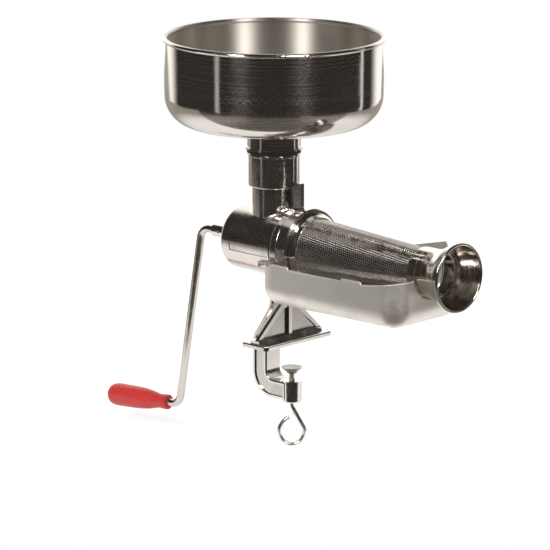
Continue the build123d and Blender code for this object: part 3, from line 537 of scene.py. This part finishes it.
def coneTree():
    tree, start, end, sockets = newModifierTree(
        "rolledPunchedSheet",
        [("Tile", "NodeSocketObject"), ("Hole Pitch", "NodeSocketFloat"), ("Lattice Turn", "NodeSocketFloat"),
         ("Cone Sine", "NodeSocketFloat"), ("Cone Cosine", "NodeSocketFloat"),
         ("Apex X", "NodeSocketFloat"), ("Axis Z", "NodeSocketFloat"),
         ("Small End", "NodeSocketFloat"), ("Big End", "NodeSocketFloat"), ("Side", "NodeSocketFloat"),
         ("Finish", "NodeSocketMaterial")])
    value = start.outputs
    link = tree.links.new
    small = mathNode(tree, "DIVIDE", value["Small End"], value["Cone Sine"])
    big = mathNode(tree, "DIVIDE", value["Big End"], value["Cone Sine"])
    halfTurn = multiply(tree, value["Cone Sine"], math.pi)
    rowGap = multiply(tree, value["Hole Pitch"], math.sqrt(3) / 2)
    nearest = multiply(tree, small, mathNode(tree, "COSINE", halfTurn))
    length = mathNode(tree, "SUBTRACT", big, nearest)
    width = multiply(tree, multiply(tree, big, mathNode(tree, "SINE", halfTurn)), 2.0)
    slant = mathNode(tree, "ABSOLUTE", mathNode(tree, "SINE", value["Lattice Turn"]))
    gridLength = add(tree, length, multiply(tree, width, slant))
    gridWidth = add(tree, width, multiply(tree, length, slant))
    rows = mathNode(tree, "CEIL", mathNode(tree, "DIVIDE", gridLength, rowGap))
    columns = mathNode(tree, "CEIL", mathNode(tree, "DIVIDE", gridWidth, value["Hole Pitch"]))
    grid = addNode(tree, "GeometryNodeMeshGrid")
    link(multiply(tree, rows, rowGap), grid.inputs["Size X"])
    link(multiply(tree, columns, value["Hole Pitch"]), grid.inputs["Size Y"])
    link(add(tree, rows, 1.0), grid.inputs["Vertices X"])
    link(add(tree, columns, 1.0), grid.inputs["Vertices Y"])
    # every second row is half a pitch over
    halfLength = multiply(tree, multiply(tree, rows, rowGap), 0.5)
    fromEdge = add(tree, positionParts(tree)[0], halfLength)
    row = mathNode(tree, "ROUND", mathNode(tree, "DIVIDE", fromEdge, rowGap))
    halfPitch = multiply(tree, value["Hole Pitch"], 0.5)
    shift = multiply(tree, mathNode(tree, "FLOORED_MODULO", row, 2.0), halfPitch)
    stagger = addNode(tree, "GeometryNodeSetPosition")
    link(grid.outputs["Mesh"], stagger.inputs["Geometry"])
    link(vectorOf(tree, 0.0, shift, 0.0), stagger.inputs["Offset"])
    slanted = vectorOf(tree, 0.0, 0.0, value["Lattice Turn"])
    laid = addNode(tree, "GeometryNodeTransform")
    link(stagger.outputs[0], laid.inputs["Geometry"])
    link(slanted, laid.inputs["Rotation"])
    middle = multiply(tree, add(tree, big, nearest), 0.5)
    link(vectorOf(tree, middle, 0.0, 0.0), laid.inputs["Translation"])
    # keep what lies on the sector, on one side of its middle line
    flat = positionParts(tree)
    away = lengthOf(tree, flat[0], flat[1])
    turn = mathNode(tree, "ARCTAN2", flat[1], flat[0])
    half = multiply(tree, value["Hole Pitch"], cone["margin"])
    tests = [
        mathNode(tree, "LESS_THAN", away, add(tree, small, half)),
        mathNode(tree, "GREATER_THAN", away, mathNode(tree, "SUBTRACT", big, half)),
        mathNode(tree, "GREATER_THAN", mathNode(tree, "ABSOLUTE", turn),
                 mathNode(tree, "SUBTRACT", halfTurn, mathNode(tree, "DIVIDE", half, away))),
        mathNode(tree, "LESS_THAN", multiply(tree, flat[1], value["Side"]), -cone["sideGap"]),
    ]
    drop = tests[0]
    for test in tests[1:]:
        drop = mathNode(tree, "MAXIMUM", drop, test)
    delete = addNode(tree, "GeometryNodeDeleteGeometry", domain="POINT", mode="ALL")
    link(laid.outputs[0], delete.inputs["Geometry"])
    link(drop, delete.inputs["Selection"])
    tile = addNode(tree, "GeometryNodeObjectInfo")
    link(value["Tile"], tile.inputs["Object"])
    copies = addNode(tree, "GeometryNodeInstanceOnPoints")
    link(delete.outputs[0], copies.inputs["Points"])
    link(tile.outputs["Geometry"], copies.inputs["Instance"])
    link(slanted, copies.inputs["Rotation"])
    solid = addNode(tree, "GeometryNodeRealizeInstances")
    link(copies.outputs[0], solid.inputs[0])
    merged = addNode(tree, "GeometryNodeMergeByDistance")
    link(solid.outputs[0], merged.inputs["Geometry"])
    merged.inputs["Distance"].default_value = cone["weld"]
    # roll the sector up
    sheet = positionParts(tree)
    reach = lengthOf(tree, sheet[0], sheet[1])
    rolled = mathNode(tree, "DIVIDE", mathNode(tree, "ARCTAN2", sheet[1], sheet[0]), value["Cone Sine"])
    radius = add(tree, multiply(tree, reach, value["Cone Sine"]), sheet[2])
    x = mathNode(tree, "SUBTRACT", value["Apex X"], multiply(tree, reach, value["Cone Cosine"]))
    y = multiply(tree, multiply(tree, radius, mathNode(tree, "SINE", rolled)), -1.0)
    z = add(tree, multiply(tree, radius, mathNode(tree, "COSINE", rolled)), value["Axis Z"])
    roll = addNode(tree, "GeometryNodeSetPosition")
    link(merged.outputs[0], roll.inputs["Geometry"])
    link(vectorOf(tree, x, y, z), roll.inputs["Position"])
    finishTree(tree, start, end, roll.outputs[0])
    return tree, sockets


def coneRadius(x):
    return cone["bigRadius"] - (x - coneLow[0]) * cone["taper"]


def conePoint(x, turn, proud):
    # a point of the cone's skin: x along the barrel, turn from the top, proud of the outside
    radius = coneRadius(x) + proud
    return (x, -radius * math.sin(turn), barrelZ + radius * math.cos(turn))


def plainBands(target):
    # the sheet's unpunched margins: a band at each end and the lapped seam underneath
    work = bmesh.new()
    work.from_mesh(target)
    proud, deep = cone["bandProud"], -cone["wall"] - cone["bandProud"]
    for startX, stopX in ((coneLow[0], coneLow[0] + cone["edgeBand"]),
                          (coneHigh[0] - cone["edgeBand"], coneHigh[0])):
        loops = [[work.verts.new(conePoint(x, 2 * math.pi * k / cone["ringSides"], off))
                  for k in range(cone["ringSides"])]
                 for x, off in ((startX, proud), (stopX, proud), (stopX, deep), (startX, deep))]
        for side in range(4):
            first, second = loops[side], loops[(side + 1) % 4]
            for k in range(cone["ringSides"]):
                after = (k + 1) % cone["ringSides"]
                work.faces.new((first[k], second[k], second[after], first[after]))
    steps = cone["seamSteps"]
    stations = []
    for x in (coneLow[0] + cone["edgeBand"] / 2, coneHigh[0] - cone["edgeBand"] / 2):
        half = cone["seamWidth"] / 2 / coneRadius(x)
        turns = [math.pi - half + 2 * half * k / steps for k in range(steps + 1)]
        stations.append([work.verts.new(conePoint(x, t, proud * cone["seamOver"])) for t in turns]
                        + [work.verts.new(conePoint(x, t, deep * cone["seamUnder"]))
                           for t in reversed(turns)])
    count = len(stations[0])
    for k in range(count):
        after = (k + 1) % count
        work.faces.new((stations[0][k], stations[1][k], stations[1][after], stations[0][after]))
    work.faces.new(stations[0])
    work.faces.new(list(reversed(stations[1])))
    work.to_mesh(target)
    work.free()


def buildCone():
    holder = punchedTile()
    tree, sockets = coneTree()
    for name, side in (("strainerConeNear", 1.0), ("strainerConeFar", -1.0)):
        mesh = bakeTree(name, bpy.data.meshes.new("empty"), tree, sockets, {
            "Tile": holder, "Hole Pitch": cone["holePitch"], "Lattice Turn": cone["latticeTurn"],
            "Cone Sine": cone["sine"], "Cone Cosine": cone["cosine"], "Apex X": cone["apexX"],
            "Axis Z": barrelZ, "Small End": cone["smallRadius"] + cone["endTrim"],
            "Big End": cone["bigRadius"] - cone["endTrim"], "Side": side, "Finish": finishes["meshSteel"]})
        if side > 0:
            plainBands(mesh)
        placePiece(name, mesh, "strainer", "mesh", "strainer_cone")
    bpy.data.objects.remove(holder)


# the clamp screw: the eye comes from the frame, the shank gets its rolled thread
screw = {"top": -0.0286, "bottom": -0.0618, "core": 0.00272, "crest": 0.00315, "pitch": 0.00125,
         "segments": 28, "tip": 0.0008, "overlap": 0.0006, "ridgeSides": 4, "weld": 1e-6, "cutGap": 0.00002,
         "sharp": math.radians(35)}


def threadTree():
    tree, start, end, sockets = newModifierTree(
        "rolledThread",
        [("Turns", "NodeSocketFloat"), ("Length", "NodeSocketFloat"), ("Helix Radius", "NodeSocketFloat"),
         ("Ridge", "NodeSocketFloat"), ("Foot", "NodeSocketVector"), ("Segments", "NodeSocketInt"),
         ("Finish", "NodeSocketMaterial")])
    value = start.outputs
    link = tree.links.new
    spiral = addNode(tree, "GeometryNodeCurveSpiral")
    link(value["Segments"], spiral.inputs["Resolution"])
    link(value["Turns"], spiral.inputs["Rotations"])
    link(value["Helix Radius"], spiral.inputs["Start Radius"])
    link(value["Helix Radius"], spiral.inputs["End Radius"])
    link(value["Length"], spiral.inputs["Height"])
    upright = addNode(tree, "GeometryNodeSetCurveNormal", mode="Z_UP")
    link(spiral.outputs[0], upright.inputs["Curve"])
    ridge = addNode(tree, "GeometryNodeCurvePrimitiveCircle", mode="RADIUS")
    ridge.inputs["Resolution"].default_value = screw["ridgeSides"]
    link(value["Ridge"], ridge.inputs["Radius"])
    sweep = addNode(tree, "GeometryNodeCurveToMesh")
    link(upright.outputs[0], sweep.inputs["Curve"])
    link(ridge.outputs[0], sweep.inputs["Profile Curve"])
    sweep.inputs["Fill Caps"].default_value = True
    lift = addNode(tree, "GeometryNodeTransform")
    link(sweep.outputs[0], lift.inputs["Geometry"])
    link(value["Foot"], lift.inputs["Translation"])
    join = addNode(tree, "GeometryNodeJoinGeometry")
    link(value["Geometry"], join.inputs[0])
    link(lift.outputs[0], join.inputs[0])
    finishTree(tree, start, end, join.outputs[0])
    return tree, sockets


def buildScrew():
    padLow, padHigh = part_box("pressure_pad")
    middle = Vector(((padLow[0] + padHigh[0]) / 2, (padLow[1] + padHigh[1]) / 2, 0.0))
    work = bmesh.new()
    work.from_mesh(cadNode["clamp_screw"].data)
    bmesh.ops.remove_doubles(work, verts=work.verts, dist=screw["weld"])
    cut = bmesh.ops.bisect_plane(work, geom=work.verts[:] + work.edges[:] + work.faces[:],
                                 plane_co=(0, 0, screw["bottom"] - screw["cutGap"]), plane_no=(0, 0, 1),
                                 clear_outer=True)
    cutRim = [edge for edge in cut["geom_cut"] if isinstance(edge, bmesh.types.BMEdge)]
    bmesh.ops.contextual_create(work, geom=cutRim)
    foot, top, core, tip = screw["bottom"] - screw["overlap"], screw["top"], screw["core"], screw["tip"]
    turns = [2 * math.pi * k / screw["segments"] for k in range(screw["segments"])]
    rings = []
    for height, radius in ((foot, 0.0), (foot, core), (top - tip, core), (top, core - tip), (top, 0.0)):
        rings.append([work.verts.new(middle + Vector((radius * math.cos(t), radius * math.sin(t), height)))
                      for t in (turns if radius else turns[:1])])
    for low, high in zip(rings, rings[1:]):
        for k in range(screw["segments"]):
            after = (k + 1) % screw["segments"]
            corners = [low[k % len(low)], low[after % len(low)], high[after % len(high)], high[k % len(high)]]
            work.faces.new(list(dict.fromkeys(corners)))      # a ring of one point makes triangles
    bmesh.ops.recalc_face_normals(work, faces=work.faces[:])
    base = bpy.data.meshes.new("clampScrewBase")
    work.to_mesh(base)
    work.free()
    length = screw["top"] - screw["bottom"] - 2 * screw["tip"]
    tree, sockets = threadTree()
    mesh = bakeTree("clampScrew", base, tree, sockets, {
        "Turns": length / screw["pitch"], "Length": length, "Helix Radius": screw["core"],
        "Ridge": screw["crest"] - screw["core"], "Segments": screw["segments"],
        "Foot": (middle.x, middle.y, screw["bottom"] + screw["tip"]), "Finish": finishes["zincRod"]})
    mesh.shade_smooth()
    mesh.set_sharp_from_angle(angle=screw["sharp"])
    placePiece("clampScrew", mesh, "screw", "rod", "clamp_screw")


# the tray's rolled hem, along the near rim and round both front corners
trayLow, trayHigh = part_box("tray_pan")
hem = {"radius": 0.0009, "inset": 0.0006, "corner": 0.020, "rim": -0.011, "endRim": -0.0045,
       "riseStart": 0.165, "tabRise": 0.0025, "tabs": ((0.041, 0.066), (0.137, 0.162)),
       "guardEnd": 0.183, "cupHalf": 0.0262, "arcSteps": 8, "sides": 10,
       "start": 0.004, "tabSlope": 0.0004, "guardGap": 0.001, "bend": 0.0006}


def hemPoint(along, across):
    # along is measured from the throat axis; the rim climbs towards the outlet
    height = hem["rim"]
    if along > hem["riseStart"]:
        front = trayHigh[0] - throatX
        height += (hem["endRim"] - hem["rim"]) * (along - hem["riseStart"]) / (front - hem["riseStart"])
    return Vector((throatX + along, across, barrelZ + height))


def frontCorner(side):
    front = trayHigh[0] - throatX - hem["inset"]
    wide = trayHigh[1] - hem["inset"]
    radius = hem["corner"] - hem["inset"]
    points = []
    for step in range(hem["arcSteps"] + 1):
        turn = math.pi / 2 * step / hem["arcSteps"]
        points.append(hemPoint(front - radius + radius * math.sin(turn),
                               side * (wide - radius + radius * math.cos(turn))))
    points.append(hemPoint(front, side * hem["cupHalf"]))
    return points


def hemTree():
    tree, start, end, sockets = newModifierTree(
        "rolledHem", [("Bead Radius", "NodeSocketFloat"), ("Sides", "NodeSocketInt"),
                      ("Bend", "NodeSocketFloat"), ("Finish", "NodeSocketMaterial")])
    value = start.outputs
    link = tree.links.new
    path = addNode(tree, "GeometryNodeMeshToCurve")
    link(value["Geometry"], path.inputs["Mesh"])
    soft = addNode(tree, "GeometryNodeFilletCurve")
    link(path.outputs[0], soft.inputs["Curve"])
    link(value["Bend"], soft.inputs["Radius"])
    ring = addNode(tree, "GeometryNodeCurvePrimitiveCircle", mode="RADIUS")
    link(value["Sides"], ring.inputs["Resolution"])
    link(value["Bead Radius"], ring.inputs["Radius"])
    sweep = addNode(tree, "GeometryNodeCurveToMesh")
    link(soft.outputs[0], sweep.inputs["Curve"])
    link(ring.outputs[0], sweep.inputs["Profile Curve"])
    sweep.inputs["Fill Caps"].default_value = True
    smooth = addNode(tree, "GeometryNodeSetShadeSmooth")
    link(sweep.outputs[0], smooth.inputs["Geometry"])
    finishTree(tree, start, end, smooth.outputs[0])
    return tree, sockets


def buildHem():
    near = trayLow[1] + hem["inset"]
    raised, slope = Vector((0, 0, hem["tabRise"])), hem["tabSlope"]
    along = hem["tabs"][0][0] + hem["start"]
    path = [hemPoint(along, near) + raised]
    for startTab, stopTab in hem["tabs"]:
        if startTab > along:
            path += [hemPoint(startTab - slope, near), hemPoint(startTab + slope, near) + raised]
        path += [hemPoint(stopTab - slope, near) + raised, hemPoint(stopTab + slope, near)]
    guardStart = hemPoint(hem["guardEnd"] + hem["guardGap"], -near)
    paths = [path + frontCorner(-1.0), [guardStart] + frontCorner(1.0)]
    tree, sockets = hemTree()
    for name, points in zip(("trayHemNear", "trayHemFar"), paths):
        line = bpy.data.meshes.new(name + "Path")
        line.from_pydata([tuple(p) for p in points], [(k, k + 1) for k in range(len(points) - 1)], [])
        mesh = bakeTree(name, line, tree, sockets, {"Bead Radius": hem["radius"], "Sides": hem["sides"],
                                                    "Bend": hem["bend"], "Finish": finishes["traySteel"]})
        placePiece(name, mesh, "frame", "tray")


buildCone()
buildScrew()
buildHem()


view = {"azimuth": 43.0, "elevation": 12.8, "distance": 4.3835, "lens": 288.0,
        "across": 0.000983, "belowAxis": 0.034246, "sensor": 36.0, "farthest": 30.0}
azimuth = math.radians(view["azimuth"])
elevation = math.radians(view["elevation"])
toCamera = Vector((math.sin(azimuth) * math.cos(elevation), -math.cos(azimuth) * math.cos(elevation),
                   math.sin(elevation)))
toRight = Vector((math.cos(azimuth), math.sin(azimuth), 0.0))
target = Vector((throatX, 0.0, barrelZ - view["belowAxis"])) + toRight * view["across"]
cameraData = bpy.data.cameras.new("photoCamera")
cameraData.lens = view["lens"]
cameraData.sensor_width = view["sensor"]
cameraData.clip_end = view["farthest"]
camera = bpy.data.objects.new("photoCamera", cameraData)
camera.location = target + toCamera * view["distance"]
camera.rotation_euler = toCamera.to_track_quat("Z", "Y").to_euler()
scene.collection.objects.link(camera)
scene.camera = camera


studio = {"floorZ": -0.126, "front": 0.12, "back": 2.2, "left": 1.3, "right": 1.0,
          "table": (0.80, 0.80, 0.80), "tableRoughness": 0.9, "tableSeen": 0.62, "tableReflected": 0.50,
          "farTable": (0.40, 0.365, 0.33), "fade": (0.42, 0.90)}
room = {"dark": (0.034, 0.034 * 0.93, 0.034 * 0.86), "low": (0.36, 0.32, 0.285), "sweep": (1.50, 1.46, 1.41),
        "plain": (0.40, 0.40, 0.40), "sweepFrom": 0.50, "sweepTo": 0.76, "lowFrom": 0.30, "lowTo": 0.55,
        "asideFrom": 0.35, "asideTo": 0.70, "asideLeast": 0.35}
facing = Vector((toCamera.x, toCamera.y, 0.0)).normalized()      # from the object to the camera, level


def studioPoint(forward, right, height):
    # a place given from the object as the camera sees it
    return Vector((throatX, 0.0, 0.0)) + facing * forward + toRight * right + Vector((0.0, 0.0, height))


def buildFloor():
    # the white table that the object stands on; its front edge is near, so low reflections are darker
    corners = [studioPoint(f, r, studio["floorZ"]) for f, r in
               ((studio["front"], -studio["left"]), (studio["front"], studio["right"]),
                (-studio["back"], studio["right"]), (-studio["back"], -studio["left"]))]
    mesh = bpy.data.meshes.new("studioTable")
    mesh.from_pydata([tuple(c) for c in corners], [], [(0, 1, 2, 3)])
    table = bpy.data.objects.new("studioTable", mesh)
    scene.collection.objects.link(table)
    material = bpy.data.materials.new("studioWhite")
    material.use_nodes = True
    tree = material.node_tree
    shader = tree.nodes["Principled BSDF"]
    shader.inputs["Base Color"].default_value = (*studio["table"], 1.0)
    shader.inputs["Roughness"].default_value = studio["tableRoughness"]
    shader.inputs["Specular IOR Level"].default_value = 0.0
    glow = addNode(tree, "ShaderNodeEmission")
    rays = addNode(tree, "ShaderNodeLightPath")
    seen = mathNode(tree, "MAXIMUM", rays.outputs["Is Camera Ray"], rays.outputs["Is Transmission Ray"])
    strength = add(tree, multiply(tree, seen, studio["tableSeen"]),
                   multiply(tree, rays.outputs["Is Glossy Ray"], studio["tableReflected"]))
    tree.links.new(strength, glow.inputs["Strength"])
    both = addNode(tree, "ShaderNodeAddShader")
    tree.links.new(shader.outputs[0], both.inputs[0])
    tree.links.new(glow.outputs[0], both.inputs[1])
    # polished metal sees the table dim away from the object, as under a lamp hung close to it
    place = centred(tree, addNode(tree, "ShaderNodeTexCoord").outputs["Object"], throatX, 0.0, 0.0)
    away = roundTheAxis(tree, place)[1]
    dull = addNode(tree, "ShaderNodeEmission")
    dull.inputs["Color"].default_value = (*studio["farTable"], 1.0)
    fade = addNode(tree, "ShaderNodeMixShader")
    faded = multiply(tree, mapRange(tree, away, *studio["fade"]), rays.outputs["Is Glossy Ray"])
    tree.links.new(faded, fade.inputs[0])
    tree.links.new(both.outputs[0], fade.inputs[1])
    tree.links.new(dull.outputs[0], fade.inputs[2])
    tree.links.new(fade.outputs[0], tree.nodes["Material Output"].inputs["Surface"])
    mesh.materials.append(material)


def buildWorld():
    # a white sweep behind the object and a dim room in front of it; the camera sees plain white
    world = bpy.data.worlds.new("studioRoom")
    scene.world = world
    world.use_nodes = True
    tree = world.node_tree
    background = tree.nodes["Background"]
    direction = addNode(tree, "ShaderNodeTexCoord")
    behind = addNode(tree, "ShaderNodeVectorMath", operation="DOT_PRODUCT")
    behind.inputs[1].default_value = tuple(-facing)
    tree.links.new(direction.outputs["Generated"], behind.inputs[0])
    sweep = mapRange(tree, behind.outputs["Value"], room["sweepFrom"], room["sweepTo"])
    aside = addNode(tree, "ShaderNodeVectorMath", operation="DOT_PRODUCT")
    aside.inputs[1].default_value = tuple(toRight)
    tree.links.new(direction.outputs["Generated"], aside.inputs[0])
    height = splitVector(tree, direction.outputs["Generated"])["Z"]
    below = mapRange(tree, multiply(tree, height, -1.0), room["lowFrom"], room["lowTo"])
    beside = mapRange(tree, mathNode(tree, "ABSOLUTE", aside.outputs["Value"]), room["asideFrom"],
                      room["asideTo"], room["asideLeast"], 1.0)
    dim = mixColor(tree, multiply(tree, below, beside), room["dark"], room["low"])
    mirrored = mixColor(tree, sweep, dim, room["sweep"])
    rays = addNode(tree, "ShaderNodeLightPath")
    lit = mixColor(tree, rays.outputs["Is Glossy Ray"], room["plain"], mirrored)
    seen = mathNode(tree, "MAXIMUM", rays.outputs["Is Camera Ray"], rays.outputs["Is Transmission Ray"])
    color = mixColor(tree, seen, lit, (1.0, 1.0, 1.0))
    tree.links.new(color, background.inputs["Color"])


panelTint = (1.0, 0.975, 0.94)
panels = {
    "softboxLeft": {"forward": 1.35, "right": -0.88, "low": 0.75, "high": 1.55, "width": 0.38,
                    "radiance": 18.0},
    "softboxRight": {"forward": 1.35, "right": 0.90, "low": 0.75, "high": 1.55, "width": 0.38,
                     "radiance": 18.0},
    "cardLeft": {"forward": 0.62, "right": -1.05, "low": studio["floorZ"], "high": 1.1, "width": 0.055,
                 "radiance": 0.95, "aimHeight": 0.487},
    "cardRight": {"forward": -0.20, "right": 1.08, "low": studio["floorZ"], "high": 1.1, "width": 0.045,
                  "radiance": 1.6, "aimHeight": 0.487},
    "cardFaint": {"forward": 0.22, "right": 1.08, "low": 0.3, "high": 0.8, "width": 0.03, "radiance": 0.2,
                  "aimHeight": 0.55},
    "topLight": {"forward": 0.1, "right": 0.0, "low": 1.7, "high": 1.75, "width": 0.9, "radiance": 4.0},
}


def addPanel(name, forward, right, low, high, width, radiance, aimHeight=0.15):
    # an upright light panel that faces the object
    light = bpy.data.lights.new(name, "AREA")
    light.shape = "RECTANGLE"
    light.size = width
    light.size_y = high - low
    light.color = panelTint
    light.energy = radiance * math.pi * width * (high - low)
    lamp = bpy.data.objects.new(name, light)
    lamp.location = studioPoint(forward, right, (low + high) / 2)
    aim = studioPoint(0.0, 0.0, aimHeight) - lamp.location
    lamp.rotation_euler = aim.to_track_quat("-Z", "Y").to_euler()
    lamp.visible_camera = False
    scene.collection.objects.link(lamp)


buildFloor()
buildWorld()
for panel, values in panels.items():
    addPanel(panel, **values)
scene.view_settings.view_transform = "Standard"
print("camera and studio ready")
